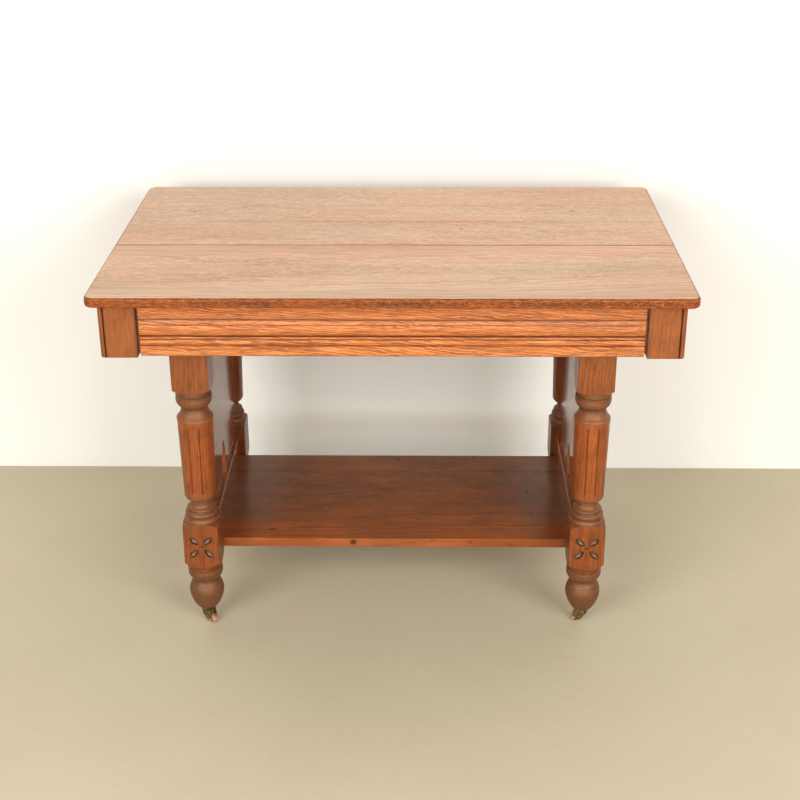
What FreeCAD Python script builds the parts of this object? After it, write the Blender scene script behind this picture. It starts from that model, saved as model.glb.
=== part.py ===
"""Oak sewing table: glued-up top over a reeded apron box, two panelled end frames on
turned legs, a low shelf between them and a swivelling caster under each leg.

Millimetres, +Z up. X runs along the table, the front is at -Y. The origin is on the
floor under the middle of the table.
"""
import FreeCAD, Part
import math
import os
from FreeCAD import Vector

# ---- whole table -------------------------------------------------------------------
HEIGHT = 749.0
TOP_LENGTH = 1092.0
TOP_DEPTH = 700.0
TOP_THICK = 19.0
TOP_CORNER_RADIUS = 18.0
TOP_EDGE_ROUND = 5.0
TOP_SEAMS = (-53.0, 97.0, 208.0)          # Y of the three glue lines, front to back
UNDERSIDE = HEIGHT - TOP_THICK

# ---- apron box ---------------------------------------------------------------------
SIDE_OVERHANG = 16.0
FRONT_OVERHANG = 33.0
BLOCK_WIDTH = 68.5
BLOCK_HEIGHT = 109.0
BLOCK_X = TOP_LENGTH / 2 - SIDE_OVERHANG  # outer face of the corner blocks
BLOCK_Y = TOP_DEPTH / 2 - FRONT_OVERHANG
BLOCK_QUIRK = 10.0                        # distance of the bead's groove from the corner
APRON_HEIGHT = 107.0
APRON_BACK = 27.0                         # inner face of an apron, behind the block face
APRON_GAP = 4.5                           # open joint between the moulding and a corner block
TENON_THICK = 10.0
TENON_LONG = 20.0

# ---- end frames --------------------------------------------------------------------
LEG_X = 381.0
LEG_Y = 229.0
LEG_HALF = 35.0                           # half the width of the square blank
LEG_TOP = 708.0
LEG_PIN_RADIUS = 12.5
LEG_PIN_LONG = 18.0
FOOT_BOTTOM = 37.0
REEDS = 10
REED_TOP = 452.0
REED_BOTTOM = 308.0
REED_GROOVE_DEPTH = 2.2
REED_GROOVE_HALF = 1.9
CARVING_HEIGHT = 193.0                    # middle of the carved flower
CARVING_LIFT = 0.5                        # the petals' axes stand this far out of the face
BATTEN_WIDTH = 90.0
UPPER_RAIL_BOTTOM = 600.0
UPPER_RAIL_HALF = 11.0
LOWER_RAIL_BOTTOM = 140.0
LOWER_RAIL_TOP = 211.0
LOWER_RAIL_HALF = 22.0
PANEL_X = LEG_X - 9.0                     # middle of the end boards and upper rails
END_BOARD_HALF = 6.0
END_BOARD_JOINTS = (-194.0, -140.0, 0.0, 140.0, 194.0)
GROOVE_DEPTH = 8.0
ARCH_MIDDLE = (24.0, 300.0)               # half width and apex height of the middle arch
ARCH_SIDE = (20.0, 238.0)

# ---- shelf -------------------------------------------------------------------------
SHELF_TOP = 168.0
SHELF_THICK = 19.5
SHELF_DEPTH = 372.0
SHELF_SEAM = 110.0                        # Y of the joint between the two shelf boards
SHELF_HOUSING = 8.0                       # how far the shelf ends enter the lower rails
SHELF_BATTEN = (250.0, 40.0, 20.0)        # X of the middle, width, thickness
SHELF_BATTEN_HALF = 140.0

# ---- casters -----------------------------------------------------------------------
WHEEL_RADIUS = 9.5
WHEEL_WIDTH = 12.5
TRAIL = 12.6
AXLE_RADIUS = 2.0
STEM_RADIUS = 4.5
STEM_TOP = 76.0
SOCKET_RADIUS = 6.5
FORK_CROWN = 31.2                         # top of the fork's flat crown
FLANGE_RADIUS = 15.0
FLANGE_THICK = 1.8
RUNNING_FIT = 0.08
GLUE_GAP = 0.05                           # round holes are this much larger in radius
CASTER_TURN = {"front_left": 142.0, "front_right": 329.0, "back_left": 60.0, "back_right": 20.0}

CORNERS = {
    "front_left": (-1, -1),
    "front_right": (1, -1),
    "back_left": (-1, 1),
    "back_right": (1, 1),
}
SIDES = {"left": -1, "right": 1}


# ---- helpers -----------------------------------------------------------------------
def block(x0, x1, y0, y1, z0, z1):
    corner = Vector(min(x0, x1), min(y0, y1), min(z0, z1))
    return Part.makeBox(abs(x1 - x0), abs(y1 - y0), abs(z1 - z0), corner)


def rod(radius, z0, z1, x=0.0, y=0.0):
    return Part.makeCylinder(radius, z1 - z0, Vector(x, y, z0))


def outline(steps):
    """Closed wire in the XZ plane. A step is (x, z) for a straight edge or
    (x, z, bulge) for an arc whose middle stands out by bulge to the right of travel."""
    edges = []
    last = Vector(steps[0][0], 0, steps[0][1])
    for step in list(steps[1:]) + [steps[0][:2]]:
        point = Vector(step[0], 0, step[1])
        if len(step) == 3:
            along = (point - last).normalize()
            side = Vector(along.z, 0, -along.x)
            middle = (last + point) * 0.5 + side * step[2]
            edges.append(Part.Arc(last, middle, point).toShape())
        elif (point - last).Length > 1e-6:
            edges.append(Part.makeLine(last, point))
        last = point
    return Part.Wire(edges)


def turned(steps):
    """Solid of revolution about Z from an outline of (radius, height) steps."""
    return Part.Face(outline(steps)).revolve(Vector(0, 0, 0), Vector(0, 0, 1), 360)


def mirrored(shape, sx, sy):
    """Copy of a shape built in the +X, +Y quarter, reflected to the quarter sx, sy."""
    result = shape.copy()
    if sx < 0:
        result = result.mirror(Vector(0, 0, 0), Vector(1, 0, 0))
    if sy < 0:
        result = result.mirror(Vector(0, 0, 0), Vector(0, 1, 0))
    return result


def save(name, *solids):
    shape = solids[0] if len(solids) == 1 else Part.makeCompound(list(solids))
    shape.exportStep(os.path.join("parts", name + ".step"))


def wood_screw(length, grow=0.0):
    """Countersunk screw pointing up, its head flush at z = 0."""
    head = 4.6 + grow
    shank = 2.2 + grow
    steps = [(0, 0), (head, 0), (shank, 3.2), (shank, length - 5.0), (0, length + grow)]
    return turned(steps)


def screw_group(places, length):
    """Screws at (x, y, z) places, and the holes that they sit in."""
    screws = [wood_screw(length).translated(Vector(*place)) for place in places]
    holes = [wood_screw(length, GLUE_GAP).translated(Vector(*place)) for place in places]
    return screws, Part.makeCompound(holes)


# ---- top ---------------------------------------------------------------------------
def top_boards(screw_holes):
    half_x = TOP_LENGTH / 2
    half_y = TOP_DEPTH / 2
    slab = block(-half_x, half_x, -half_y, half_y, UNDERSIDE, HEIGHT)
    corners = [e for e in slab.Edges if abs(e.Vertexes[0].Z - e.Vertexes[1].Z) > 1]
    slab = slab.makeFillet(TOP_CORNER_RADIUS, corners)
    rims = [e for e in slab.Edges if e.BoundBox.ZLength < 0.01]
    slab = slab.makeFillet(TOP_EDGE_ROUND, rims).cut(screw_holes)
    limits = (-half_y,) + TOP_SEAMS + (half_y,)
    names = ("top_board_front", "top_board_second", "top_board_third", "top_board_back")
    for name, y0, y1 in zip(names, limits, limits[1:]):
        strip = block(-half_x, half_x, y0, y1, UNDERSIDE, HEIGHT)
        save(name, slab.common(strip).Solids[0])


# ---- apron box ---------------------------------------------------------------------
def apron_section():
    """Moulded section: x is the depth behind the block face, z the height. A low board
    with a flat bead above it, then two broad reeds and a plain fillet under the top."""
    bottom = UNDERSIDE - APRON_HEIGHT
    return [
        (APRON_BACK, bottom),
        (6.5, bottom),
        (4.5, bottom + 2.0),
        (4.5, bottom + 19.5),
        (7.2, bottom + 21.0),
        (6.8, bottom + 22.0),
        (6.8, bottom + 31.5, -1.8),
        (8.2, bottom + 32.0),
        (7.4, bottom + 32.6),
        (7.4, bottom + 37.8, -1.2),
        (10.5, bottom + 38.2),
        (10.5, bottom + 39.6),
        (8.5, bottom + 39.8),
        (5.5, bottom + 59.5, -2.6),
        (6.6, bottom + 60.7),
        (5.4, bottom + 61.5),
        (7.4, bottom + 70.5, -0.6),
        (9.0, bottom + 71.0),
        (9.0, bottom + 72.0),
        (4.0, bottom + 72.4),
        (4.0, UNDERSIDE),
        (APRON_BACK, UNDERSIDE),
    ]


def apron(half_length):
    """Apron along X with its inner side towards +Y and a stub tenon at each end."""
    reach = half_length - APRON_GAP
    face = Part.Face(outline(apron_section()))
    board = face.extrude(Vector(0, 2 * reach, 0))
    board.rotate(Vector(0, 0, 0), Vector(0, 0, 1), 90)
    board.translate(Vector(reach, 0, 0))
    return board.fuse(apron_tenons(half_length)).removeSplitter()


def apron_tenons(half_length):
    reach = half_length + TENON_LONG
    z0 = UNDERSIDE - APRON_HEIGHT + 3.0
    z1 = UNDERSIDE - 15.0
    y0 = APRON_BACK - 4.0 - TENON_THICK
    return block(-reach, reach, y0, y0 + TENON_THICK, z0, z1)


def place_long(shape, sy):
    """Move a front-facing piece to the front (sy = -1) or turn it to the back."""
    result = shape.copy()
    if sy > 0:
        result.rotate(Vector(0, 0, 0), Vector(0, 0, 1), 180)
    result.translate(Vector(0, sy * BLOCK_Y, 0))
    return result


def place_short(shape, sx):
    result = shape.copy()
    result.rotate(Vector(0, 0, 0), Vector(0, 0, 1), sx * 90)
    result.translate(Vector(sx * BLOCK_X, 0, 0))
    return result


LONG_HALF = BLOCK_X - BLOCK_WIDTH
SHORT_HALF = BLOCK_Y - BLOCK_WIDTH


def aprons():
    long_apron = apron(LONG_HALF)
    short_apron = apron(SHORT_HALF)
    save("apron_front", place_long(long_apron, -1))
    save("apron_back", place_long(long_apron, 1))
    save("apron_left", place_short(short_apron, -1))
    save("apron_right", place_short(short_apron, 1))


def quirk(x0, y0, along_x):
    """Upright V groove at (x0, y0), open to the face that faces +Y or +X."""
    z0 = UNDERSIDE - BLOCK_HEIGHT - 1.0
    z1 = UNDERSIDE - 8.0
    half = 2.0
    depth = 2.6
    if along_x:
        points = [(x0 - half, y0 + 0.5), (x0 + half, y0 + 0.5), (x0, y0 - depth)]
    else:
        points = [(x0 + 0.5, y0 - half), (x0 + 0.5, y0 + half), (x0 - depth, y0)]
    ring = [Vector(x, y, z0) for x, y in points]
    face = Part.Face(Part.makePolygon(ring + ring[:1]))
    return face.extrude(Vector(0, 0, z1 - z0))


def corner_blocks():
    """The +X, +Y block with a beaded outer corner, reflected to the four corners."""
    z0 = UNDERSIDE - BLOCK_HEIGHT
    body = block(BLOCK_X - BLOCK_WIDTH, BLOCK_X, BLOCK_Y - BLOCK_WIDTH, BLOCK_Y, z0, UNDERSIDE)
    upright = [
        e for e in body.Edges
        if abs(e.BoundBox.XMax - BLOCK_X) < 0.01 and e.BoundBox.XLength < 0.01
        and abs(e.BoundBox.YMin - BLOCK_Y) < 0.01 and e.BoundBox.ZLength > 1
    ]
    body = body.makeFillet(7.0, upright)
    rim = [e for e in body.Edges if e.BoundBox.ZMax < z0 + 0.01]
    body = body.makeFillet(3.0, rim)
    body = body.cut(quirk(BLOCK_X - BLOCK_QUIRK, BLOCK_Y, True))
    body = body.cut(quirk(BLOCK_X, BLOCK_Y - BLOCK_QUIRK, False))
    body = body.cut(place_long(apron_tenons(LONG_HALF), 1))
    body = body.cut(place_short(apron_tenons(SHORT_HALF), 1))
    for name, (sx, sy) in CORNERS.items():
        save("corner_block_" + name, mirrored(body, sx, sy))


def glue_blocks():
    """Triangular blocks glued into the angle of aprons and top."""
    leg = 20.0
    long = 60.0
    ring = [Vector(0, 0, UNDERSIDE), Vector(0, leg, UNDERSIDE), Vector(0, 0, UNDERSIDE - leg)]
    wedge = Part.Face(Part.makePolygon(ring + ring[:1])).extrude(Vector(long, 0, 0))
    wedge.translate(Vector(-long / 2, APRON_BACK, 0))
    for name, sy in (("front", -1), ("back", 1)):
        row = [place_long(wedge.translated(Vector(x, 0, 0)), sy) for x in (-200.0, 0.0, 200.0)]
        save("glue_blocks_" + name, *row)
    for name, sx in SIDES.items():
        row = [place_short(wedge.translated(Vector(y, 0, 0)), sx) for y in (-110.0, 110.0)]
        save("glue_blocks_" + name, *row)


# ---- legs --------------------------------------------------------------------------
def leg_steps():
    """Turned outline of a leg, from the foot up, as (radius, height, bulge)."""
    wide = LEG_HALF * 1.45
    face = LEG_HALF - 0.2
    return [
        (0, FOOT_BOTTOM),
        (18.4, FOOT_BOTTOM),
        (face, 76.0, 3.2),
        (25.5, 102.0, 2.4),
        (25.5, 106.0),
        (28.0, 108.0),
        (34.2, 129.0, 3.0),
        (34.2, 133.0),
        (32.6, 134.5),
        (32.6, 139.0),
        (face, 143.0),
        (wide, 160.0, 2.5),
        (wide, 226.0),
        (face, 242.0, 4.2),
        (32.6, 244.5),
        (31.0, 249.0),
        (28.5, 251.0),
        (28.5, 262.0, 3.4),
        (27.0, 264.0),
        (27.5, 269.0, 0.8),
        (20.5, 282.0, -2.6),
        (20.5, 286.0),
        (31.3, 300.0, 3.6),
        (face, 461.0),
        (33.9, 466.5, 0.9),
        (25.8, 483.0, -1.6),
        (25.8, 486.0),
        (28.0, 489.0),
        (34.3, 508.0, 2.9),
        (34.3, 512.5),
        (32.2, 514.0),
        (32.2, 523.5),
        (face, 524.5),
        (wide, 536.0, 2.8),
        (wide, LEG_TOP),
        (0, LEG_TOP),
    ]


def reed_groove():
    """V groove between two reeds, cut into the tapering column on its +X side."""
    wires = []
    for z, radius in ((REED_BOTTOM, 31.5), (REED_TOP, 34.6)):
        ring = [
            Vector(radius + 1.0, -REED_GROOVE_HALF, z),
            Vector(radius + 1.0, REED_GROOVE_HALF, z),
            Vector(radius - REED_GROOVE_DEPTH, 0, z),
        ]
        wires.append(Part.makePolygon(ring + ring[:1]))
    return Part.makeLoft(wires, True, True)


def petal(start, end):
    """Leaf-shaped spindle along +X from start to end, for cutting a sunken petal."""
    half_width = 6.2
    arc = Part.Arc(Vector(start, 0, 0), Vector((start + end) / 2, half_width, 0), Vector(end, 0, 0))
    wire = Part.Wire([arc.toShape(), Part.makeLine(Vector(end, 0, 0), Vector(start, 0, 0))])
    return Part.Face(wire).revolve(Vector(0, 0, 0), Vector(1, 0, 0), 360)


def flower():
    """Four sunken petals in an X and two centre pricks, on the plane y = 0."""
    cuts = []
    upper = (6.5, 31.0)
    lower = (9.0, 34.5)
    for angle, (start, end) in ((43.0, upper), (137.0, upper), (227.0, lower), (313.0, lower)):
        leaf = petal(start, end)
        leaf.rotate(Vector(0, 0, 0), Vector(0, 1, 0), -angle)
        cuts.append(leaf)
    for x in (-2.4, 2.4):
        prick = Part.makeSphere(2.3, Vector(x, 0, 0))
        cuts.append(prick)
    return Part.makeCompound(cuts)


def leg_blank():
    """Leg about its own axis, with its carved faces at +X and +Y."""
    square = block(-LEG_HALF, LEG_HALF, -LEG_HALF, LEG_HALF, FOOT_BOTTOM, LEG_TOP)
    square = square.makeFillet(2.5, [e for e in square.Edges if e.BoundBox.ZLength > 1])
    leg = turned(leg_steps()).common(square)
    groove = reed_groove()
    grooves = []
    for index in range(REEDS):
        cutter = groove.copy()
        cutter.rotate(Vector(0, 0, 0), Vector(0, 0, 1), (index + 0.5) * 360.0 / REEDS + 90.0)
        grooves.append(cutter)
    leg = leg.cut(Part.makeCompound(grooves))
    carving = flower()
    carving.translate(Vector(0, LEG_HALF + CARVING_LIFT, CARVING_HEIGHT))
    leg = leg.cut(carving)
    carving.rotate(Vector(0, 0, 0), Vector(0, 0, 1), -90)
    leg = leg.cut(carving)
    return leg.fuse(rod(LEG_PIN_RADIUS, LEG_TOP, LEG_TOP + LEG_PIN_LONG))


def rail_tenon(x, half_thick, z0, z1):
    """Stub tenons at both ends of an end rail whose middle is at x."""
    reach = LEG_Y - LEG_HALF + TENON_LONG
    return block(x - half_thick, x + half_thick, -reach, reach, z0, z1)


UPPER_TENON = rail_tenon(PANEL_X, 6.0, UPPER_RAIL_BOTTOM + 18.0, LEG_TOP - 12.0)
LOWER_TENON = rail_tenon(LEG_X, 9.0, LOWER_RAIL_BOTTOM + 20.0, LOWER_RAIL_TOP - 8.0)


def legs():
    leg = leg_blank()
    leg.translate(Vector(LEG_X, LEG_Y, 0))
    bore = rod(SOCKET_RADIUS + GLUE_GAP, FOOT_BOTTOM - 1.0, STEM_TOP + 4.0, LEG_X, LEG_Y)
    leg = leg.cut(Part.makeCompound([bore, UPPER_TENON, LOWER_TENON]))
    for name, (sx, sy) in CORNERS.items():
        save("leg_" + name, mirrored(leg, sx, sy))


# ---- end frames --------------------------------------------------------------------
def board_gap():
    return block(
        PANEL_X - END_BOARD_HALF, PANEL_X + END_BOARD_HALF,
        END_BOARD_JOINTS[0], END_BOARD_JOINTS[-1],
        LOWER_RAIL_TOP - GROOVE_DEPTH, UPPER_RAIL_BOTTOM + GROOVE_DEPTH,
    )


def pointed_arch(y, half_width, apex):
    """Cutter through the end boards: a pointed arch standing on the lower rail."""
    base = LOWER_RAIL_TOP - GROOVE_DEPTH
    spring = LOWER_RAIL_TOP + 0.25 * (apex - LOWER_RAIL_TOP)
    bulge = 0.1 * (apex - LOWER_RAIL_TOP)
    steps = [
        (half_width, base),
        (half_width, spring),
        (0, apex, bulge),
        (-half_width, spring, bulge),
        (-half_width, base),
    ]
    cutter = Part.Face(outline(steps)).extrude(Vector(0, 60.0, 0))
    cutter.rotate(Vector(0, 0, 0), Vector(0, 0, 1), 90)
    cutter.translate(Vector(LEG_X + 30.0, y, 0))
    return cutter


def end_boards():
    """Four upright boards in each end frame, arched at the foot of every joint."""
    arches = [pointed_arch(0.0, *ARCH_MIDDLE)]
    arches += [pointed_arch(sy * END_BOARD_JOINTS[-2], *ARCH_SIDE) for sy in (-1, 1)]
    panel = board_gap().cut(Part.makeCompound(arches))
    positions = ("front", "front_middle", "back_middle", "back")
    for position, y0, y1 in zip(positions, END_BOARD_JOINTS, END_BOARD_JOINTS[1:]):
        board = panel.common(block(LEG_X - 30.0, LEG_X + 30.0, y0, y1, 0, HEIGHT)).Solids[0]
        for side, sx in SIDES.items():
            save("end_board_" + side + "_" + position, mirrored(board, sx, 1))


def upper_rails():
    span = LEG_Y - LEG_HALF
    rail = block(PANEL_X - UPPER_RAIL_HALF, PANEL_X + UPPER_RAIL_HALF, -span, span,
                 UPPER_RAIL_BOTTOM, LEG_TOP)
    rail = rail.fuse(UPPER_TENON).removeSplitter().cut(board_gap())
    for side, sx in SIDES.items():
        save("upper_rail_" + side, mirrored(rail, sx, 1))


def shelf_outline():
    reach = LEG_X - LOWER_RAIL_HALF + SHELF_HOUSING
    half = SHELF_DEPTH / 2
    return block(-reach, reach, -half, half, SHELF_TOP - SHELF_THICK, SHELF_TOP)


def lower_rails():
    span = LEG_Y - LEG_HALF
    rail = block(LEG_X - LOWER_RAIL_HALF, LEG_X + LOWER_RAIL_HALF, -span, span,
                 LOWER_RAIL_BOTTOM, LOWER_RAIL_TOP)
    rail = rail.makeChamfer(2.0, [e for e in rail.Edges if e.BoundBox.YLength > 1
                                  and e.BoundBox.ZMin > LOWER_RAIL_TOP - 1])
    rail = rail.fuse(LOWER_TENON).removeSplitter().cut(board_gap()).cut(shelf_outline())
    for side, sx in SIDES.items():
        save("lower_rail_" + side, mirrored(rail, sx, 1))


def top_battens(holes):
    """Battens under the top that carry the two end frames."""
    span = BLOCK_Y - APRON_BACK
    batten = block(LEG_X - BATTEN_WIDTH / 2, LEG_X + BATTEN_WIDTH / 2, -span, span,
                   LEG_TOP, UNDERSIDE)
    radius = LEG_PIN_RADIUS + GLUE_GAP
    pins = [rod(radius, LEG_TOP, LEG_TOP + LEG_PIN_LONG, LEG_X, sy * LEG_Y) for sy in (-1, 1)]
    batten = batten.cut(Part.makeCompound(pins))
    for side, sx in SIDES.items():
        save("top_batten_" + side, mirrored(batten, sx, 1).cut(holes))


# ---- shelf -------------------------------------------------------------------------
def shelf(holes):
    slab = shelf_outline()
    fronts = [e for e in slab.Edges if e.BoundBox.XLength > 1 and e.BoundBox.YMax < 0]
    slab = slab.makeFillet(1.5, fronts).cut(holes)
    half = SHELF_DEPTH / 2
    for name, y0, y1 in (("front", -half, SHELF_SEAM), ("back", SHELF_SEAM, half)):
        strip = block(-TOP_LENGTH, TOP_LENGTH, y0, y1, 0, SHELF_TOP)
        save("shelf_board_" + name, slab.common(strip).Solids[0])


def shelf_battens(holes):
    middle, width, thick = SHELF_BATTEN
    z1 = SHELF_TOP - SHELF_THICK
    for side, sx in SIDES.items():
        batten = block(sx * (middle - width / 2), sx * (middle + width / 2),
                       -SHELF_BATTEN_HALF, SHELF_BATTEN_HALF, z1 - thick, z1)
        save("shelf_batten_" + side, batten.cut(holes))


# ---- casters -----------------------------------------------------------------------
COLLAR_TOP = FOOT_BOTTOM - FLANGE_THICK - 0.3
CHEEK_GAP = WHEEL_WIDTH + 1.2
CHEEK_THICK = 1.6
CHEEK_OUTER = CHEEK_GAP / 2 + CHEEK_THICK
CROWN_THICK = 1.8
CROWN_FRONT = 10.5
CROWN_BACK = -13.2


def caster_socket():
    """Flanged brass tube driven up into the foot."""
    bore = STEM_RADIUS + RUNNING_FIT
    z0 = FOOT_BOTTOM - FLANGE_THICK
    z1 = STEM_TOP + 3.0
    steps = [
        (bore, z0),
        (FLANGE_RADIUS - 0.8, z0),
        (FLANGE_RADIUS, z0 + 0.8),
        (FLANGE_RADIUS, FOOT_BOTTOM),
        (SOCKET_RADIUS, FOOT_BOTTOM),
        (SOCKET_RADIUS, z1),
        (bore, z1),
    ]
    return turned(steps)


def cheek_outline():
    """Side view of a fork cheek: upright behind, round under the axle and swept up to
    the front of the crown."""
    return [
        (CROWN_BACK, FORK_CROWN),
        (-14.4, 16.0),
        (-TRAIL - 4.2, WHEEL_RADIUS + 0.4),
        (-7.3, 5.3, 3.0),
        (CROWN_FRONT + 0.3, 27.5, 4.3),
        (CROWN_FRONT, FORK_CROWN),
    ]


def caster_fork():
    """Folded yoke of a flat crown and two cheeks, with a collar and an upright stem.
    The wheel trails towards -X."""
    cheek = Part.Face(outline(cheek_outline())).extrude(Vector(0, CHEEK_THICK, 0))
    near = cheek.translated(Vector(0, -CHEEK_OUTER, 0))
    far = cheek.translated(Vector(0, CHEEK_OUTER - CHEEK_THICK, 0))
    crown = block(CROWN_BACK, CROWN_FRONT, -CHEEK_OUTER, CHEEK_OUTER,
                  FORK_CROWN - CROWN_THICK, FORK_CROWN)
    yoke = crown.multiFuse([near, far]).removeSplitter()
    folds = [
        e for e in yoke.Edges
        if e.BoundBox.ZMin > FORK_CROWN - 0.01 and e.BoundBox.XLength > 10
        and abs(abs(e.BoundBox.YMin) - CHEEK_OUTER) < 0.01
    ]
    yoke = yoke.makeFillet(1.2, folds)
    collar = rod(8.0, FORK_CROWN - 1.0, COLLAR_TOP)
    stem = rod(STEM_RADIUS, FORK_CROWN - 1.0, STEM_TOP)
    stem = stem.makeFillet(1.5, [e for e in stem.Edges if e.BoundBox.ZMin > STEM_TOP - 0.1])
    fork = yoke.multiFuse([collar, stem]).removeSplitter()
    return fork.cut(axle_rod(AXLE_RADIUS + 0.02, 30.0))


def axle_rod(radius, length):
    start = Vector(-TRAIL, -length / 2, WHEEL_RADIUS)
    return Part.makeCylinder(radius, length, start, Vector(0, 1, 0))


def caster_axle():
    """Pin across the cheeks with a low round head at each end."""
    pin = axle_rod(AXLE_RADIUS, 2 * CHEEK_OUTER)
    for direction in (-1, 1):
        start = Vector(-TRAIL, direction * CHEEK_OUTER, WHEEL_RADIUS)
        head = Part.makeCylinder(3.0, 1.2, start, Vector(0, direction, 0))
        pin = pin.fuse(head)
    return pin.removeSplitter()


def caster_wheel():
    """Turned wheel with a lightly crowned tread and a small hub each side."""
    half = WHEEL_WIDTH / 2
    bore = AXLE_RADIUS + RUNNING_FIT
    hub = 4.2
    steps = [
        (bore, -half),
        (hub, -half),
        (hub + 0.6, -half + 0.9),
        (WHEEL_RADIUS - 2.6, -half + 0.9),
        (WHEEL_RADIUS - 1.2, -half + 1.8, 0.4),
        (WHEEL_RADIUS - 1.2, half - 1.8, 1.2),
        (WHEEL_RADIUS - 2.6, half - 0.9, 0.4),
        (hub + 0.6, half - 0.9),
        (hub, half),
        (bore, half),
    ]
    wheel = turned(steps)
    wheel.rotate(Vector(0, 0, 0), Vector(1, 0, 0), 90)
    wheel.translate(Vector(-TRAIL, 0, WHEEL_RADIUS))
    return wheel


def casters():
    pieces = {
        "caster_socket_": caster_socket(),
        "caster_fork_": caster_fork(),
        "caster_axle_": caster_axle(),
        "caster_wheel_": caster_wheel(),
    }
    for name, (sx, sy) in CORNERS.items():
        for prefix, shape in pieces.items():
            piece = shape.copy()
            piece.rotate(Vector(0, 0, 0), Vector(0, 0, 1), CASTER_TURN[name])
            piece.translate(Vector(sx * LEG_X, sy * LEG_Y, 0))
            save(prefix + name, piece)


# ---- fasteners ---------------------------------------------------------------------
def batten_screw_places():
    rows = (-272.0, -90.0, 90.0, 272.0)
    return [(sx * (LEG_X - 28.0), y, LEG_TOP) for sx in (-1, 1) for y in rows]


def shelf_screw_places():
    middle, _width, thick = SHELF_BATTEN
    z0 = SHELF_TOP - SHELF_THICK - thick
    return [(sx * middle, y, z0) for sx in (-1, 1) for y in (-115.0, 0.0, 85.0, 128.0)]


def main():
    os.makedirs("parts", exist_ok=True)
    batten_screws, batten_holes = screw_group(batten_screw_places(), 34.0)
    shelf_screws, shelf_holes = screw_group(shelf_screw_places(), 32.0)
    top_boards(batten_holes)
    aprons()
    corner_blocks()
    glue_blocks()
    legs()
    end_boards()
    upper_rails()
    lower_rails()
    top_battens(batten_holes)
    shelf(shelf_holes)
    shelf_battens(shelf_holes)
    casters()
    save("top_batten_screws", *batten_screws)
    save("shelf_batten_screws", *shelf_screws)


main()
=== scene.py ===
"""Looks of the oak sewing table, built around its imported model.

Metres, +Z up, in the model's own frame: X runs along the table and the front is at -Y.
"""
import math

import bpy
from mathutils import Matrix, Vector

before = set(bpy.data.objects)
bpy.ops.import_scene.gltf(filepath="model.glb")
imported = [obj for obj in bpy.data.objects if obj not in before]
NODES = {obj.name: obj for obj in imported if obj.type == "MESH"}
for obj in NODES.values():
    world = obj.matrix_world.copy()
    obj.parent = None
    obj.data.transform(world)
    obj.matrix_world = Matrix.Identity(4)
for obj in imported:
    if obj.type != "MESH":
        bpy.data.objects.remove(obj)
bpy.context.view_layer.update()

# ---- camera ------------------------------------------------------------------------
CAMERA_PLACE = (0.0545, -2.6976, 1.6369)
CAMERA_TILT = math.radians(24.76)         # down from the horizon
CAMERA_TURN = math.radians(-0.96)         # to the right of +Y
CAMERA_ROLL = math.radians(-0.24)
CAMERA_LENS = 64.14
CAMERA_SENSOR = 36.0

# ---- room --------------------------------------------------------------------------
WALL_Y = 0.452
WALL_HEIGHT = 4.0
FLOOR_SIZE = 9.0
SKY_COLOUR = (1.0, 0.985, 0.95, 1.0)
SKY_STRENGTH = 0.34
LIGHT_COLOUR = (1.0, 0.98, 0.94)
LIGHTS = (                                # name, place, aim, size, watts
    ("front_left", (-1.9, -3.2, 2.0), (0, 0.2, 0.5), (2.2, 1.8), 104.0),
    ("front_right", (2.1, -3.2, 2.0), (0, 0.2, 0.5), (2.2, 1.8), 113.0),
    ("front_low", (0.0, -3.3, 0.55), (0, 0.4, 0.1), (2.6, 0.7), 35.0),
)

# ---- sizes of the table that the finishes follow -----------------------------------
TOP_HEIGHT = 0.749
TOP_THICK = 0.019
UNDERSIDE = TOP_HEIGHT - TOP_THICK
BLOCK_OUTER = (0.530, 0.317)              # X and Y of the corner blocks' outer faces
BLOCK_BEAD = 0.010                        # distance of the bead's groove from the corner
BLOCK_WIDTH = 0.0685
LEG_LOW = 0.037
LEG_HIGH = 0.550                          # above this a leg is plain and square
LEG_AXIS = (0.381, 0.229)
LEG_HALF = 0.035
FLOWER_HEIGHT = 0.193                     # middle of the carved flower
FLOWER_HALF = 0.028
CARVED_DEEPEST = 0.0068
SHELF_TOP = 0.168
SHELF_EDGE = (-0.186, 0.160)              # Y of the shelf's front edge, and a height on it
SHELF_SEAM = 0.110


def make_camera():
    data = bpy.data.cameras.new("camera")
    data.lens = CAMERA_LENS
    data.sensor_width = CAMERA_SENSOR
    camera = bpy.data.objects.new("camera", data)
    bpy.context.scene.collection.objects.link(camera)
    ahead = Vector((math.sin(CAMERA_TURN), math.cos(CAMERA_TURN), 0.0))
    forward = math.cos(CAMERA_TILT) * ahead - math.sin(CAMERA_TILT) * Vector((0.0, 0.0, 1.0))
    level = Vector((math.cos(CAMERA_TURN), -math.sin(CAMERA_TURN), 0.0))
    upright = level.cross(forward)
    right = math.cos(CAMERA_ROLL) * level + math.sin(CAMERA_ROLL) * upright
    up = math.cos(CAMERA_ROLL) * upright - math.sin(CAMERA_ROLL) * level
    turned = Matrix((right, up, -forward)).transposed()
    camera.matrix_world = Matrix.Translation(CAMERA_PLACE) @ turned.to_4x4()
    bpy.context.scene.camera = camera


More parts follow.
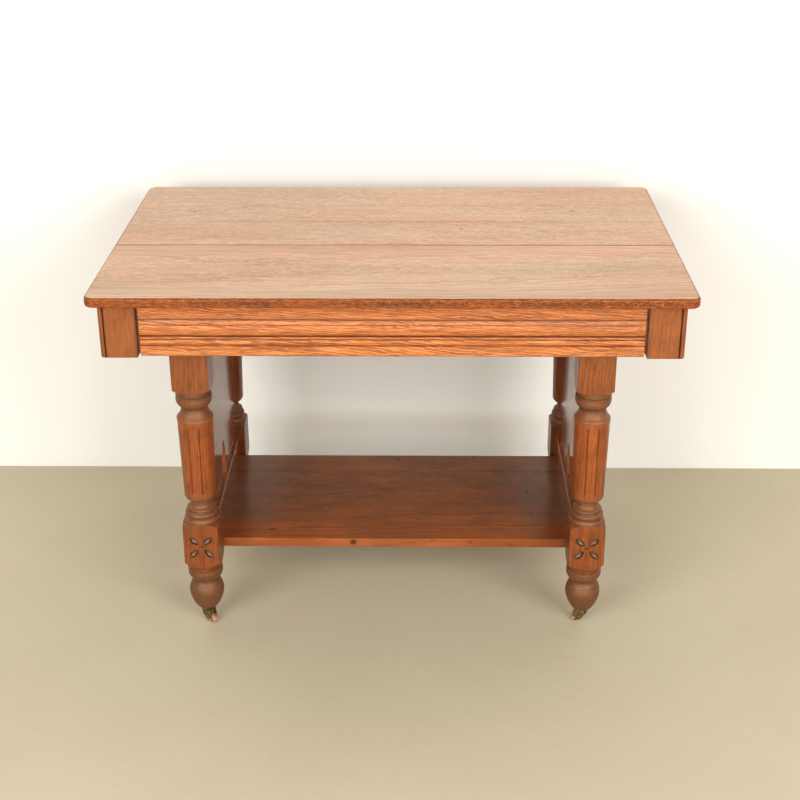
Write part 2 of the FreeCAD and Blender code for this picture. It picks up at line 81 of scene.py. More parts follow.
# ---- shader helpers ----------------------------------------------------------------
class Shader:
    """A material's node tree, with short calls for the nodes that the finishes use.
    A value is a socket or a number, and a colour is a socket or three numbers."""

    def __init__(self, name):
        self.material = bpy.data.materials.new(name)
        self.material.use_nodes = True
        self.nodes = self.material.node_tree.nodes
        self.links = self.material.node_tree.links
        self.nodes.clear()
        self.output = self.nodes.new("ShaderNodeOutputMaterial")

    def put(self, socket, value):
        if isinstance(value, bpy.types.NodeSocket):
            self.links.new(value, socket)
        elif value is not None:
            socket.default_value = value

    def node(self, kind, **inputs):
        made = self.nodes.new(kind)
        for key, value in inputs.items():
            self.put(made.inputs[key.replace("_", " ")], value)
        return made

    def place(self):
        """Place on the object, in metres, whichever way it is turned."""
        return self.node("ShaderNodeTexCoord").outputs["Object"]

    def facing(self, axis):
        """How far the surface faces along an axis of the object: 0 is X, 1 is Y, 2 is Z."""
        return self.split(self.node("ShaderNodeTexCoord").outputs["Normal"])[axis]

    def shifted(self, vector, scale=(1, 1, 1), shift=(0, 0, 0), turn=(0, 0, 0)):
        made = self.node("ShaderNodeMapping", Vector=vector, Scale=scale, Location=shift, Rotation=turn)
        return made.outputs[0]

    def noise(self, vector, scale, detail=3.0, roughness=0.5, distortion=0.0):
        made = self.node("ShaderNodeTexNoise", Vector=vector, Scale=scale, Detail=detail,
                         Roughness=roughness, Distortion=distortion)
        return made.outputs["Fac"]

    def drawn(self, vector, scale, detail=3.0, roughness=0.5, distortion=0.0, shift=(0, 0, 0),
              turn=(0, 0, 0)):
        """Noise with its own scale on each axis, so that it can be drawn out along the grain."""
        return self.noise(self.shifted(vector, scale, shift, turn), 1.0, detail, roughness, distortion)

    def jitter(self, vector, scale):
        """Noise on all three axes at once, about zero."""
        made = self.node("ShaderNodeTexNoise", Vector=vector, Scale=scale, Detail=2.0)
        return self.vector_maths("SUBTRACT", made.outputs["Color"], (0.5, 0.5, 0.5))

    def maths(self, operation, a, b=None, c=None):
        made = self.nodes.new("ShaderNodeMath")
        made.operation = operation
        for index, value in enumerate((a, b, c)):
            if value is not None:
                self.put(made.inputs[index], value)
        return made.outputs[0]

    def plus(self, a, b):
        return self.maths("ADD", a, b)

    def minus(self, a, b):
        return self.maths("SUBTRACT", a, b)

    def times(self, a, b):
        return self.maths("MULTIPLY", a, b)

    def size(self, a):
        return self.maths("ABSOLUTE", a)

    def vector_maths(self, operation, a, b=None):
        made = self.nodes.new("ShaderNodeVectorMath")
        made.operation = operation
        for index, value in enumerate((a, b)):
            if value is not None:
                self.put(made.inputs[index], value)
        return made.outputs["Value" if operation == "LENGTH" else "Vector"]

    def ramp(self, value, low, high, smooth=True):
        """0 below low and 1 above high; low may be the greater for a falling ramp."""
        made = self.nodes.new("ShaderNodeMapRange")
        made.interpolation_type = "SMOOTHSTEP" if smooth else "LINEAR"
        self.put(made.inputs["Value"], value)
        if low < high:
            made.inputs["From Min"].default_value = low
            made.inputs["From Max"].default_value = high
        else:
            made.inputs["From Min"].default_value = high
            made.inputs["From Max"].default_value = low
            made.inputs["To Min"].default_value = 1.0
            made.inputs["To Max"].default_value = 0.0
        return made.outputs[0]

    def line(self, value, middle, half, blur):
        """1 on the line where value equals middle, fading to 0 about half a width away."""
        away = self.size(self.minus(value, middle))
        return self.ramp(away, half * (1 + blur), half * (1 - blur))

    def curve(self, value, stops):
        """Straight runs through (place, height) stops, both from 0 to 1."""
        made = self.nodes.new("ShaderNodeValToRGB")
        self.put(made.inputs[0], value)
        band = made.color_ramp
        while len(band.elements) < len(stops):
            band.elements.new(0.5)
        for element, stop in zip(band.elements, stops):
            element.position = stop[0]
        for element, stop in zip(band.elements, stops):
            element.color = (stop[1], stop[1], stop[1], 1.0)
        return made.outputs[0]

    def mix(self, share, a, b, kind="MIX"):
        made = self.nodes.new("ShaderNodeMix")
        made.data_type = "RGBA"
        made.blend_type = kind
        self.put(made.inputs[0], share)
        self.put(made.inputs[6], a if isinstance(a, bpy.types.NodeSocket) else (*a, 1.0))
        self.put(made.inputs[7], b if isinstance(b, bpy.types.NodeSocket) else (*b, 1.0))
        return made.outputs[2]

    def tinted(self, share, colour, factor):
        """The colour multiplied by a factor on each channel, where share is 1."""
        return self.mix(share, colour, self.mix(1.0, colour, factor, "MULTIPLY"))

    def shaded(self, colour, value):
        return self.mix(1.0, colour, self.join(value, value, value), "MULTIPLY")

    def split(self, vector):
        return self.node("ShaderNodeSeparateXYZ", Vector=vector).outputs

    def join(self, x, y, z):
        return self.node("ShaderNodeCombineXYZ", X=x, Y=y, Z=z).outputs[0]

    def bump(self, height, distance, strength=1.0, normal=None):
        made = self.node("ShaderNodeBump", Height=height, Distance=distance, Strength=strength)
        self.put(made.inputs["Normal"], normal)
        return made.outputs[0]

    def finish(self, colour, roughness, normal=None, metallic=0.0, specular=0.5, amber=(1.0, 1.0, 1.0)):
        """Close the tree; amber is the tint of what the varnish mirrors."""
        shader = self.nodes.new("ShaderNodeBsdfPrincipled")
        self.put(shader.inputs["Base Color"], colour)
        self.put(shader.inputs["Roughness"], roughness)
        self.put(shader.inputs["Normal"], normal)
        shader.inputs["Metallic"].default_value = metallic
        shader.inputs["Specular IOR Level"].default_value = specular
        shader.inputs["Specular Tint"].default_value = (*amber, 1.0)
        self.links.new(shader.outputs[0], self.output.inputs["Surface"])
        return self.material


# ---- oak ---------------------------------------------------------------------------
GRAIN_TURN = {"x": (0, 0, 0), "y": (0, 0, math.pi / 2), "z": (0, math.pi / 2, 0)}


def oak(name, shades, grain, pith, seed, ring, rough, pores, rise=0.045, ripple=0.0, wander=0.034,
        specular=0.6, amber=(1.0, 0.80, 0.62), strand=1.0, year_depth=1.1, relief=0.00035, wave=0.0,
        wash=None):
    """Solid oak: growth rings about a pith line, so that each face shows its own cut of
    them, with open pores in the early wood and worn varnish.

    shades are the late wood, the early wood and the pores, pith is where the pith line
    lies on the two axes across the grain, ring is the width of a year, and wash paints
    what is peculiar to one part."""
    s = Shader(name)
    light, middle, dark = shades
    place = s.place()
    along = s.shifted(place, turn=GRAIN_TURN[grain], shift=(seed, 0, 0))
    drift = s.jitter(s.shifted(along, scale=(2.6, 13, 13)), 1.0)
    bent = s.vector_maths("ADD", s.vector_maths("MULTIPLY", drift, (0.0, wander, wander)), along)
    x, y, z = (s.split(bent)[axis] for axis in range(3))
    across = s.minus(y, pith[0])
    depth = s.plus(s.minus(z, pith[1]), s.times(x, rise))
    radius = s.vector_maths("LENGTH", s.join(0.0, across, depth))
    fine = s.drawn(along, (9, 60, 60), 2.0)
    turns = s.plus(s.maths("DIVIDE", radius, ring), s.times(fine, 1.4))
    if ripple > 0:
        # where the rings lie flat in the face they show as small broken ripples
        flat = s.ramp(s.maths("DIVIDE", s.size(across), radius), 0.75, 0.15)
        squirm = s.drawn(along, (42, 95, 95), 3.0, 0.6)
        turns = s.plus(turns, s.times(s.times(squirm, flat), ripple))
    phase = s.maths("FRACT", turns)
    early = s.times(s.ramp(phase, 0.0, 0.55), s.ramp(phase, 1.0, 0.86))
    year = s.noise(s.join(0.0, s.maths("FLOOR", turns), seed), 3.7, 0.0)

    strands = s.drawn(along, (16, 520, 520), 3.0, 0.6)
    dashes = s.drawn(along, (70, 1500, 1500), 1.0)
    pore = s.times(s.ramp(dashes, 0.56, 0.68), s.maths("MULTIPLY_ADD", early, 0.75, 0.25))
    broad = s.drawn(along, (1.4, 9, 9), 2.0, shift=(seed, 2, 5))

    colour = s.mix(s.times(early, s.maths("MULTIPLY_ADD", year, year_depth, 0.15)), light, middle)
    colour = s.mix(s.times(s.ramp(strands, 0.42, 0.72), strand), colour, s.mix(0.5, middle, dark))
    colour = s.shaded(colour, s.maths("MULTIPLY_ADD", broad, 0.5, 0.75))
    colour = s.mix(s.times(pore, pores), colour, dark)
    rub = s.noise(place, 14.0, 4.0, 0.6)
    roughness = s.maths("MULTIPLY_ADD", rub, rough[1] - rough[0], rough[0])
    if wash is not None:
        colour, roughness = wash(s, place, colour, roughness)

    height = s.minus(s.times(strands, 0.35), s.times(pore, 0.8))
    height = s.minus(height, s.times(early, 0.15))
    swell = None
    if wave > 0:
        swell = s.bump(s.drawn(along, (5, 17, 17), 2.0), wave)
    normal = s.bump(height, relief, 0.9, swell)
    return s.finish(colour, roughness, normal, specular=specular, amber=amber)


def spot(s, place, middle, half, edge):
    """1 inside a ragged round spot and 0 outside it; half is its half extent on each axis."""
    ragged = s.vector_maths("MULTIPLY", s.jitter(place, 260.0), (0.004, 0.004, 0.004))
    away = s.vector_maths("SUBTRACT", s.vector_maths("ADD", place, ragged), middle)
    away = s.vector_maths("DIVIDE", away, half)
    return s.ramp(s.vector_maths("LENGTH", away), 1.0 + edge, 1.0 - edge)


# ---- top ---------------------------------------------------------------------------
TOP_SHADES = ((0.72, 0.452, 0.306), (0.565, 0.325, 0.206), (0.23, 0.118, 0.070))
TOP_PITH_Y = {"front": -0.19, "second": 0.03, "third": 0.14, "back": 0.30}
TOP_PITH_Z = 0.665
TOP_SEAMS = (                             # Y, half width, strength
    (-0.053, 0.00165, 1.0),
    (0.097, 0.00070, 0.85),
    (0.208, 0.00060, 0.55),
)
TOP_NICKS = (                             # X, Y, half extents
    (-0.42, 0.168, (0.0040, 0.0035, 0.004)),
    (0.367, 0.170, (0.0065, 0.0045, 0.004)),
    (0.133, 0.048, (0.0035, 0.0035, 0.004)),
)
TOP_HAZE = (0.40, 0.25, 0.15)
TOP_SEAM_DIRT = (0.055, 0.020, 0.011)
TOP_NICK_DIRT = (0.11, 0.05, 0.03)
RIM_SHADES = ((0.37, 0.078, 0.006), (0.15, 0.029, 0.004))
RIM_SPECK = (0.055, 0.016, 0.006)
ARRIS_DIRT = (0.06, 0.020, 0.010)


def top_rim(s, place, ragged):
    """Red-brown edge of the top: mottled, speckled most along its middle, with a dark arris."""
    mottle = s.ramp(s.drawn(place, (75, 120, 260), 4.0, 0.7), 0.36, 0.62)
    specks = s.drawn(place, (330, 330, 700), 2.0, 0.75)
    middle = s.minus(s.split(place)[2], TOP_HEIGHT - TOP_THICK / 2)
    belt = s.ramp(s.size(middle), 0.009, 0.001)
    patch = s.drawn(place, (9, 9, 1), 2.0)
    belt = s.times(belt, s.maths("MULTIPLY_ADD", patch, 0.30, 0.02))
    rim = s.mix(mottle, *RIM_SHADES)
    rim = s.mix(s.ramp(s.plus(specks, belt), 0.60, 0.74), rim, RIM_SPECK)
    upright = s.facing(2)
    arris = s.times(s.ramp(upright, 0.999, 0.96), s.ramp(upright, 0.70, 0.93))
    return s.mix(s.times(arris, s.ramp(ragged, 0.42, 0.58)), rim, ARRIS_DIRT)


def top_wash(s, place, colour, roughness):
    """Pale rubbed face with dark glue lines and nicks, inside a red-brown rim."""
    y = s.split(place)[1]
    tint = s.drawn(place, (2.2, 11, 11), 4.0, 0.6)
    colour = s.tinted(s.ramp(tint, 0.36, 0.62), colour, (1.0, 1.12, 1.18))
    near = s.ramp(s.size(s.plus(y, 0.075)), 0.10, 0.0)
    colour = s.tinted(near, colour, (1.07, 1.00, 0.98))
    haze = s.drawn(place, (60, 900, 60), 2.0, 0.6)
    colour = s.mix(s.times(s.ramp(haze, 0.56, 0.75), 0.35), colour, TOP_HAZE)
    for middle, half, strength in TOP_SEAMS:
        gap = s.drawn(place, (14, 3, 3), 3.0, 0.6, shift=(middle * 90, 0, 0))
        fade = s.times(s.ramp(gap, 0.50 - 0.34 * strength, 0.66 - 0.30 * strength), strength)
        colour = s.mix(s.times(s.line(y, middle, half, 0.6), fade), colour, TOP_SEAM_DIRT)
    for nick_x, nick_y, half in TOP_NICKS:
        nick = spot(s, place, (nick_x, nick_y, TOP_HEIGHT), half, 0.6)
        colour = s.mix(s.times(nick, 0.6), colour, TOP_NICK_DIRT)
    ragged = s.drawn(place, (150, 300, 300), 3.0, 0.7)
    face = s.ramp(s.plus(s.facing(2), s.times(ragged, 0.14)), 0.985, 1.05)
    return s.mix(face, top_rim(s, place, ragged), colour), roughness


def top_oak(name, pith, seed):
    return oak(name, TOP_SHADES, "x", pith, seed, ring=0.0055, rough=(0.46, 0.60), pores=0.42, rise=0.03,
               ripple=3.8, wander=0.03, specular=0.45, amber=(1.0, 0.79, 0.56), strand=0.6, relief=0.00018,
               wash=top_wash)


# ---- apron -------------------------------------------------------------------------
APRON_SHADES = ((0.66, 0.215, 0.052), (0.31, 0.078, 0.017), (0.08, 0.019, 0.006))
APRON_PITH_Y = {"apron_front": -0.20, "apron_back": 0.20, "apron_left": -0.42, "apron_right": 0.42}
APRON_PITH_Z = 0.655
APRON_GROOVES = (                         # distance below the top, half width, strength
    (0.0358, 0.0027, 0.85),
    (0.0463, 0.0009, 0.45),
    (0.0682, 0.0017, 0.90),
    (0.0749, 0.0008, 0.50),
    (0.0857, 0.0012, 0.55),
)
APRON_FILLET = UNDERSIDE - 0.034          # lower edge of the plain fillet under the top
APRON_FLAME = (0.17, 0.040, 0.010)
APRON_BRIGHT = (0.74, 0.27, 0.095)
# painted shade and grime for the moulding's grooves
GROOVE_SHADE_AND_GRIME = (0.12, 0.032, 0.010)
# painted shadow line under the top
APRON_TOP_SHADOW = (0.10, 0.028, 0.010)


def apron_wash(s, place, colour, roughness):
    """Flame-like dark strokes, painted shade and grime in the grooves of the moulding, painted shade on the
    fillet under the top, and a painted shadow line under the top.
    """
    x, _y, z = s.split(place)
    flame = s.drawn(place, (17, 17, 150), 3.0, 0.6, 1.1, turn=(0, 0.55, 0))
    patch = s.drawn(place, (5, 5, 3), 2.0)
    low_left = s.times(s.ramp(s.size(s.plus(x, 0.26)), 0.26, 0.12), s.ramp(z, 0.668, 0.656))
    share = s.maths("MULTIPLY_ADD", low_left, 0.55, s.times(patch, 0.6))
    colour = s.mix(s.times(s.ramp(flame, 0.50, 0.66), share), colour, APRON_FLAME)
    bright = s.drawn(place, (13, 13, 150), 3.0, 0.6, 0.8, shift=(3, 0, 0))
    colour = s.mix(s.times(s.ramp(bright, 0.50, 0.70), 0.5), colour, APRON_BRIGHT)
    waver = s.drawn(place, (30, 30, 60), 3.0, 0.6)
    z = s.plus(z, s.maths("MULTIPLY_ADD", waver, 0.0016, -0.0008))
    # painted shade: the fillet under the top's overhang is darkened
    fillet = s.ramp(z, APRON_FILLET - 0.001, APRON_FILLET + 0.001)
    colour = s.tinted(fillet, colour, (0.88, 0.82, 0.76))
    # painted shade and grime: dark lines in the grooves of the moulding
    for below, half, strength in APRON_GROOVES:
        mark = s.times(s.line(z, UNDERSIDE - below, half, 0.7), strength)
        colour = s.mix(mark, colour, GROOVE_SHADE_AND_GRIME)
    # painted shadow: a dark line under the top
    under_top = s.times(s.line(z, UNDERSIDE, 0.0042, 0.8), 0.85)
    return s.mix(under_top, colour, APRON_TOP_SHADOW), roughness


def apron_oak(name, grain, pith, seed):
    return oak(name, APRON_SHADES, grain, pith, seed, ring=0.0046, rough=(0.26, 0.42), pores=0.8, rise=0.10,
               ripple=2.4, wander=0.040, specular=0.65, strand=0.85, year_depth=1.3, wash=apron_wash)


# ---- corner blocks -----------------------------------------------------------------
BLOCK_SHADES = ((0.265, 0.071, 0.014), (0.205, 0.053, 0.010), (0.08, 0.021, 0.006))
# painted shade under the top, in the bead's grooves and along the inner edges
BLOCK_PAINTED_SHADE = (0.055, 0.015, 0.005)


def block_wash(s, place, colour, roughness):
    """Painted shade under the top, along the bead's grooves and down the inner edges."""
    x, y, z = s.split(place)
    waver = s.maths("MULTIPLY_ADD", s.noise(place, 70.0, 3.0, 0.6), 0.004, -0.002)
    # painted shadow line under the top, and painted shade in the bead's grooves and down the inner edges
    shade_lines = s.line(s.plus(z, waver), UNDERSIDE, 0.0045, 0.8)
    for part, outer in zip((x, y), BLOCK_OUTER):
        inward = s.plus(s.minus(outer, s.size(part)), waver)
        shade_lines = s.maths("MAXIMUM", shade_lines, s.line(inward, BLOCK_BEAD, 0.0020, 0.7))
        shade_lines = s.maths("MAXIMUM", shade_lines, s.times(s.line(inward, BLOCK_WIDTH, 0.0032, 0.7), 0.8))
    cloud = s.drawn(place, (26, 26, 18), 3.0, 0.6)
    colour = s.tinted(s.ramp(cloud, 0.40, 0.66), colour, (0.80, 0.74, 0.70))
    return s.mix(s.times(shade_lines, 0.85), colour, BLOCK_PAINTED_SHADE), roughness


def block_oak(name, seed):
    return oak(name, BLOCK_SHADES, "z", (0.30, 0.2), seed, ring=0.0030, rough=(0.28, 0.42), pores=0.3,
               strand=0.35, relief=0.0002, wash=block_wash)


# ---- legs --------------------------------------------------------------------------
LEG_SHADES = ((0.335, 0.074, 0.013), (0.205, 0.041, 0.007), (0.050, 0.012, 0.004))
# painted shade: the back legs get a darker copy of the leg finish, for the shade at the back of the table
BACK_LEG_PAINTED_SHADE = 0.52                     # the back legs are this much darker
TURNED_SHADES = ((0.200, 0.076, 0.033), (0.090, 0.030, 0.013))
# painted shade and grime in the necks and grooves
LEG_GRIME_AND_SHADE = (0.050, 0.019, 0.009)
# painted shadow on the steep rims of the carved petals, and the colour of their floors
PETAL_SHADOW_AND_FLOOR = ((0.030, 0.012, 0.007), (0.095, 0.052, 0.031))

# how brown, how bright, and how much painted shade and grime a leg has at each height
TURNED = (
    (0.037, 1.0), (0.126, 1.0), (0.136, 0.0), (0.236, 0.0), (0.242, 0.9), (0.284, 1.0),
    (0.300, 0.45), (0.312, 0.0), (0.455, 0.0), (0.462, 0.8), (0.486, 1.0), (0.522, 0.9),
    (0.528, 0.0),
)
BRIGHT = (
    (0.037, 0.62), (0.130, 0.66), (0.140, 0.72), (0.236, 0.72), (0.245, 0.85), (0.285, 0.9),
    (0.300, 1.0), (0.484, 1.0), (0.488, 0.72), (0.550, 0.74),
)
GRIME_AND_SHADE_HEIGHTS = (
    (0.037, 0.9), (0.046, 0.3), (0.098, 0.1), (0.104, 0.8), (0.110, 0.2), (0.128, 0.0),
    (0.134, 0.7), (0.139, 0.5), (0.144, 0.0), (0.240, 0.0), (0.246, 0.5), (0.2495, 0.9),
    (0.254, 0.1), (0.2635, 0.9), (0.269, 0.2), (0.284, 0.7), (0.289, 0.2), (0.456, 0.0),
    (0.470, 0.15), (0.4855, 0.95), (0.492, 0.2), (0.508, 0.0), (0.5135, 0.80), (0.519, 0.25),
    (0.5245, 0.5), (0.529, 0.0),
)


def carved_depth(s, place):
    """Depth below the nearer of the two outward faces inside the carved flower, else 0."""
    x, y, z = s.split(place)
    side_x = s.minus(s.size(x), LEG_AXIS[0])
    side_y = s.minus(s.size(y), LEG_AXIS[1])
    depth = s.minus(LEG_HALF, s.maths("MAXIMUM", side_x, side_y))
    level = s.maths("MINIMUM", s.size(side_x), s.size(side_y))
    level = s.maths("MAXIMUM", level, s.size(s.minus(z, FLOWER_HEIGHT)))
    in_flower = s.maths("LESS_THAN", level, FLOWER_HALF)
    return s.times(depth, s.times(in_flower, s.maths("LESS_THAN", depth, CARVED_DEEPEST)))


def leg_wash(s, place, colour, roughness):
    """Browner, duller polish on the turned parts, with turning lines, painted shade and grime in the
    necks and grooves, and painted shadow on the rims of the carved petals."""
    level = s.ramp(s.split(place)[2], LEG_LOW, LEG_HIGH, smooth=False)
    turned, bright, shade_and_grime = (
        s.curve(level, [((height - LEG_LOW) / (LEG_HIGH - LEG_LOW), value) for height, value in stops])
        for stops in (TURNED, BRIGHT, GRIME_AND_SHADE_HEIGHTS))
    lines = s.drawn(place, (6, 6, 520), 3.0, 0.7)
    brown = s.mix(0.30, s.mix(s.ramp(lines, 0.40, 0.66), *TURNED_SHADES), colour)
    cloud = s.drawn(place, (60, 60, 34), 4.0, 0.65)
    colour = s.tinted(s.ramp(cloud, 0.44, 0.66), colour, (0.74, 0.72, 0.76))
    colour = s.shaded(s.mix(turned, colour, brown), bright)
    # painted shade and grime in the necks and grooves
    smear = s.times(shade_and_grime, s.ramp(s.noise(place, 55.0, 4.0, 0.65), 0.30, 0.60))
    colour = s.mix(s.times(smear, 0.85), colour, LEG_GRIME_AND_SHADE)
    carved = carved_depth(s, place)
    # painted shadow on the steep rims of the petals, lighter on their floors
    cavity = s.mix(s.ramp(carved, 0.0030, 0.0050), *PETAL_SHADOW_AND_FLOOR)
    colour = s.mix(s.ramp(carved, 0.0002, 0.0007), colour, cavity)
    return colour, s.plus(roughness, s.times(turned, 0.20))


def leg_oak(name, share, seed):
    # a share below 1 is painted shade, for the back legs
    shades = [tuple(share * part for part in shade) for shade in LEG_SHADES]
    return oak(name, shades, "z", (0.32, 0.2), seed, ring=0.0044, rough=(0.24, 0.38), pores=0.6,
               specular=0.85, amber=(1.0, 0.72, 0.46), strand=0.75, year_depth=0.8, relief=0.0002,
               wash=leg_wash)


# ---- shelf -------------------------------------------------------------------------
SHELF_SHADES = ((0.235, 0.060, 0.008), (0.152, 0.035, 0.005), (0.036, 0.009, 0.002))
SHELF_NICKS = (                           # place, half extents
    ((-0.252, -0.149, SHELF_TOP), (0.0075, 0.0030, 0.006)),
    ((0.313, 0.112, SHELF_TOP), (0.0018, 0.0090, 0.006)),
    ((0.283, 0.013, SHELF_TOP), (0.0022, 0.0075, 0.006)),
    ((0.284, -0.086, SHELF_TOP), (0.0018, 0.0050, 0.006)),
    ((0.0, 0.166, SHELF_TOP), (0.0080, 0.0040, 0.006)),
    ((-0.084, *SHELF_EDGE), (0.0060, 0.006, 0.0058)),
    ((0.154, *SHELF_EDGE), (0.0022, 0.006, 0.0022)),
)
# painted reflection: grey sheen over the shelf's ends
SHELF_END_PAINTED_SHEEN = (0.150, 0.072, 0.040)
SHELF_EDGE_SHADES = ((0.34, 0.100, 0.040), (0.22, 0.062, 0.022))
SHELF_EDGE_RIGHT = (0.19, 0.053, 0.019)
SHELF_DASH = (0.035, 0.010, 0.004)
SHELF_SEAM_DIRT = (0.020, 0.006, 0.003)
SHELF_NICK_DIRT = (0.022, 0.009, 0.005)


def shelf_edge(s, x, cloud):
    """Colour of the worn front edge, darker towards the right."""
    worn = s.mix(s.ramp(cloud, 0.35, 0.65), *SHELF_EDGE_SHADES)
    return s.mix(s.ramp(x, 0.06, 0.20), worn, SHELF_EDGE_RIGHT)


def shelf_wash(s, place, colour, roughness):
    """Rubbed orange front, a painted grey sheen over the ends, worn edge, long dark dashes, dark joint and
    nicks.
    """
    x, y, _z = s.split(place)
    patch = s.drawn(place, (3, 9, 9), 4.0, 0.6)
    front = s.ramp(s.plus(y, s.times(patch, 0.16)), 0.04, -0.10)
    colour = s.tinted(front, colour, (1.42, 1.36, 1.2))
    cloud = s.drawn(place, (7, 15, 15), 4.0, 0.65, shift=(5, 0, 0))
    colour = s.tinted(s.ramp(cloud, 0.42, 0.66), colour, (0.70, 0.72, 0.80))
    # painted reflection: a grey sheen over both ends, back from the front edge
    ends = s.ramp(s.plus(s.size(x), s.times(cloud, 0.10)), 0.28, 0.36)
    ends = s.times(ends, s.ramp(y, -0.16, -0.08))
    colour = s.mix(s.times(ends, 0.6), colour, SHELF_END_PAINTED_SHEEN)
    rubbed = s.times(s.ramp(x, -0.06, -0.20), s.ramp(y, -0.09, -0.14))
    colour = s.tinted(rubbed, colour, (1.40, 1.28, 1.10))
    edge = s.ramp(s.facing(1), -0.6, -0.9)
    colour = s.mix(s.times(edge, 0.75), colour, shelf_edge(s, x, cloud))
    dashes = s.drawn(place, (11, 190, 60), 3.0, 0.7)
    colour = s.mix(s.times(s.ramp(dashes, 0.60, 0.74), 0.7), colour, SHELF_DASH)
    gap = s.drawn(place, (9, 2, 2), 3.0)
    bend = s.maths("MULTIPLY_ADD", gap, 0.002, SHELF_SEAM - 0.001)
    joint = s.times(s.line(y, bend, 0.0009, 0.6), s.ramp(gap, 0.34, 0.48))
    colour = s.mix(joint, colour, SHELF_SEAM_DIRT)
    for middle, half in SHELF_NICKS:
        colour = s.mix(s.times(spot(s, place, middle, half, 0.5), 0.85), colour, SHELF_NICK_DIRT)
    return colour, roughness


def shelf_oak(name, seed):
    return oak(name, SHELF_SHADES, "x", (0.05, 0.02), seed, ring=0.0056, rough=(0.10, 0.20), pores=0.22,
               rise=0.03, ripple=2.0, specular=0.38, amber=(1.0, 0.70, 0.38), strand=0.3, relief=0.00010,
               wave=0.0003, wash=shelf_wash)


# ---- end frames and hidden wood ----------------------------------------------------
END_SHADES = ((0.26, 0.073, 0.018), (0.165, 0.044, 0.011), (0.045, 0.012, 0.004))
PINE_SHADES = ((0.50, 0.34, 0.19), (0.38, 0.24, 0.12), (0.16, 0.09, 0.04))


def end_oak(name, grain, pith, seed):
    return oak(name, END_SHADES, grain, pith, seed, ring=0.0040, rough=(0.09, 0.15), pores=0.5,
               specular=0.9, amber=(1.0, 0.77, 0.62), relief=0.00008, wave=0.0005)


def bare_pine(name):
    return oak(name, PINE_SHADES, "y", (0.03, -0.05), 4.0, ring=0.0035, rough=(0.6, 0.8), pores=0.3,
               specular=0.3)


# ---- casters -----------------------------------------------------------------------
BRASS_SHADES = ((0.34, 0.24, 0.10), (0.10, 0.070, 0.035))
AXLE_STEEL = (0.75, 0.70, 0.62)
SCREW_STEEL = (0.35, 0.33, 0.30)
WHEEL_SHADES = ((0.50, 0.26, 0.17), (0.30, 0.13, 0.08))
WHEEL_STAIN = (0.10, 0.045, 0.03)


def old_brass(name):
    s = Shader(name)
    place = s.place()
    stain = s.noise(place, 160.0, 5.0, 0.65)
    colour = s.mix(s.ramp(stain, 0.38, 0.66), *BRASS_SHADES)
    normal = s.bump(s.noise(place, 900.0, 2.0), 0.0002, 0.5)
    return s.finish(colour, s.maths("MULTIPLY_ADD", stain, 0.35, 0.2), normal, metallic=1.0)


def rubbed_steel(name, bright):
    s = Shader(name)
    place = s.place()
    stain = s.noise(place, 240.0, 4.0, 0.6)
    colour = s.mix(s.ramp(stain, 0.45, 0.7), bright, tuple(0.35 * part for part in bright))
    normal = s.bump(s.noise(place, 1200.0, 2.0), 0.0001, 0.5)
    return s.finish(colour, s.maths("MULTIPLY_ADD", stain, 0.3, 0.25), normal, metallic=1.0)


def wheel_wood(name):
    s = Shader(name)
    place = s.place()
    lines = s.drawn(place, (140, 140, 700))
    stain = s.noise(place, 110.0, 4.0, 0.6)
    colour = s.mix(lines, *WHEEL_SHADES)
    colour = s.mix(s.ramp(stain, 0.55, 0.72), colour, WHEEL_STAIN)
    normal = s.bump(lines, 0.0002, 0.6)
    return s.finish(colour, s.maths("MULTIPLY_ADD", stain, 0.3, 0.35), normal)


# ---- finishes on the nodes ---------------------------------------------------------
def paint(names, material):
    for name in names:
        NODES[name].data.materials.clear()
        NODES[name].data.materials.append(material)


def group(prefix):
    return sorted(name for name in NODES if name.startswith(prefix))


def seeded(names, first, step):
    """Each name with a seed of its own, so that no two pieces show the same grain."""
    return [(name, "oak_" + name, first + step * index) for index, name in enumerate(names)]


def paint_oak():
    for name, finish, seed in seeded(["top_board_" + part for part in TOP_PITH_Y], 1.7, 2.3):
        pith = (TOP_PITH_Y[name.replace("top_board_", "")], TOP_PITH_Z)
        paint([name], top_oak(finish, pith, seed))
    for name, finish, seed in seeded(group("apron_"), 0.9, 1.9):
        grain = "x" if name in ("apron_front", "apron_back") else "y"
        paint([name], apron_oak(finish, grain, (APRON_PITH_Y[name], APRON_PITH_Z), seed))
    for name, finish, seed in seeded(group("corner_block_"), 5.1, 1.3):
        paint([name], block_oak(finish, seed))
    for name, finish, seed in seeded(group("leg_"), 2.2, 1.1):
        paint([name], leg_oak(finish, BACK_LEG_PAINTED_SHADE if "back" in name else 1.0, seed))
    for name, finish, seed in seeded(group("shelf_board_"), 3.3, 1.7):
        paint([name], shelf_oak(finish, seed))
    for name, finish, seed in seeded(group("end_board_"), 0.0, 1.3):
        paint([name], end_oak(finish, "z", (0.1, 0.2), seed))
    for name, finish, seed in seeded(group("lower_rail_") + group("upper_rail_"), 7.0, 1.3):
        paint([name], end_oak(finish, "y", (0.3, 0.1), seed))


def paint_rest():
    battens = [part + "_batten_" + side for part in ("top", "shelf") for side in ("left", "right")]
    paint(battens + group("glue_blocks_"), bare_pine("bare_pine"))
    paint(group("caster_socket_") + group("caster_fork_"), old_brass("old_brass"))
    paint(group("caster_axle_"), rubbed_steel("axle_steel_finish", AXLE_STEEL))
    screws = ["top_batten_screws", "shelf_batten_screws"]
    paint(screws, rubbed_steel("screw_steel_finish", SCREW_STEEL))
    paint(group("caster_wheel_"), wheel_wood("turned_wheel_wood"))


# ---- room --------------------------------------------------------------------------
FLOOR_SHADES = ((0.50, 0.43, 0.30), (0.60, 0.53, 0.385))
FLOOR_GRIT = (0.36, 0.30, 0.20)
WALL_COLOUR = (0.84, 0.83, 0.80, 1.0)


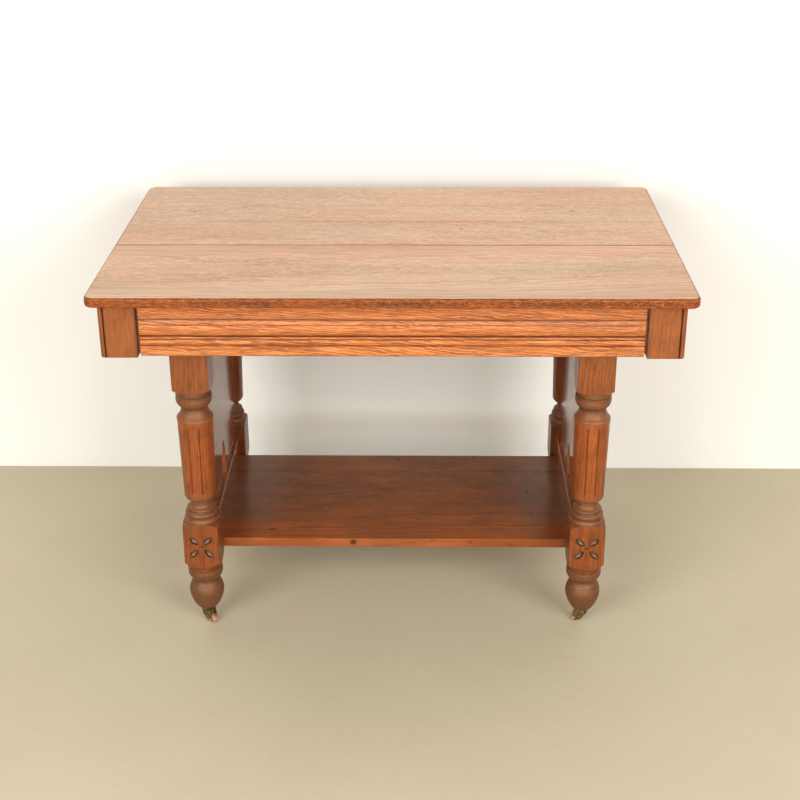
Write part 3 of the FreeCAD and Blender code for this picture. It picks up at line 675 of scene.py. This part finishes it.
def sheet(name, corners, material):
    mesh = bpy.data.meshes.new(name)
    mesh.from_pydata(corners, [], [(0, 1, 2, 3)])
    mesh.materials.append(material)
    made = bpy.data.objects.new(name, mesh)
    bpy.context.scene.collection.objects.link(made)


def floor_finish():
    s = Shader("plain_floor")
    place = s.place()
    cloud = s.noise(place, 2.2, 5.0, 0.6)
    grit = s.noise(place, 60.0, 3.0)
    colour = s.mix(cloud, *FLOOR_SHADES)
    colour = s.mix(s.times(grit, 0.16), colour, FLOOR_GRIT)
    return s.finish(colour, 0.55, specular=0.35)


def wall_finish():
    """Pale wall that is seen only from its front, so that it hides nothing from behind."""
    s = Shader("plain_wall")
    s.finish(WALL_COLOUR, 0.7, specular=0.2)
    painted = s.nodes["Principled BSDF"]
    clear = s.nodes.new("ShaderNodeBsdfTransparent")
    side = s.nodes.new("ShaderNodeNewGeometry")
    blend = s.nodes.new("ShaderNodeMixShader")
    s.links.new(side.outputs["Backfacing"], blend.inputs[0])
    s.links.new(painted.outputs[0], blend.inputs[1])
    s.links.new(clear.outputs[0], blend.inputs[2])
    s.links.new(blend.outputs[0], s.output.inputs["Surface"])
    return s.material


def area_light(name, place, aim, size, power):
    data = bpy.data.lights.new(name, "AREA")
    data.shape = "RECTANGLE"
    data.size, data.size_y = size
    data.energy = power
    data.color = LIGHT_COLOUR
    made = bpy.data.objects.new(name, data)
    made.location = place
    made.rotation_mode = "QUATERNION"
    made.rotation_quaternion = (Vector(aim) - Vector(place)).to_track_quat("-Z", "Y")
    bpy.context.scene.collection.objects.link(made)


def make_room():
    half = FLOOR_SIZE / 2
    floor = [(-half, -half, 0), (half, -half, 0), (half, half, 0), (-half, half, 0)]
    wall = [(-half, WALL_Y, 0), (half, WALL_Y, 0),
            (half, WALL_Y, WALL_HEIGHT), (-half, WALL_Y, WALL_HEIGHT)]
    sheet("floor", floor, floor_finish())
    sheet("wall", wall, wall_finish())
    world = bpy.data.worlds.new("studio")
    world.use_nodes = True
    background = world.node_tree.nodes["Background"]
    background.inputs[0].default_value = SKY_COLOUR
    background.inputs[1].default_value = SKY_STRENGTH
    bpy.context.scene.world = world
    for light in LIGHTS:
        area_light(*light)
    bpy.context.scene.view_settings.view_transform = "Standard"


make_camera()
paint_oak()
paint_rest()
make_room()
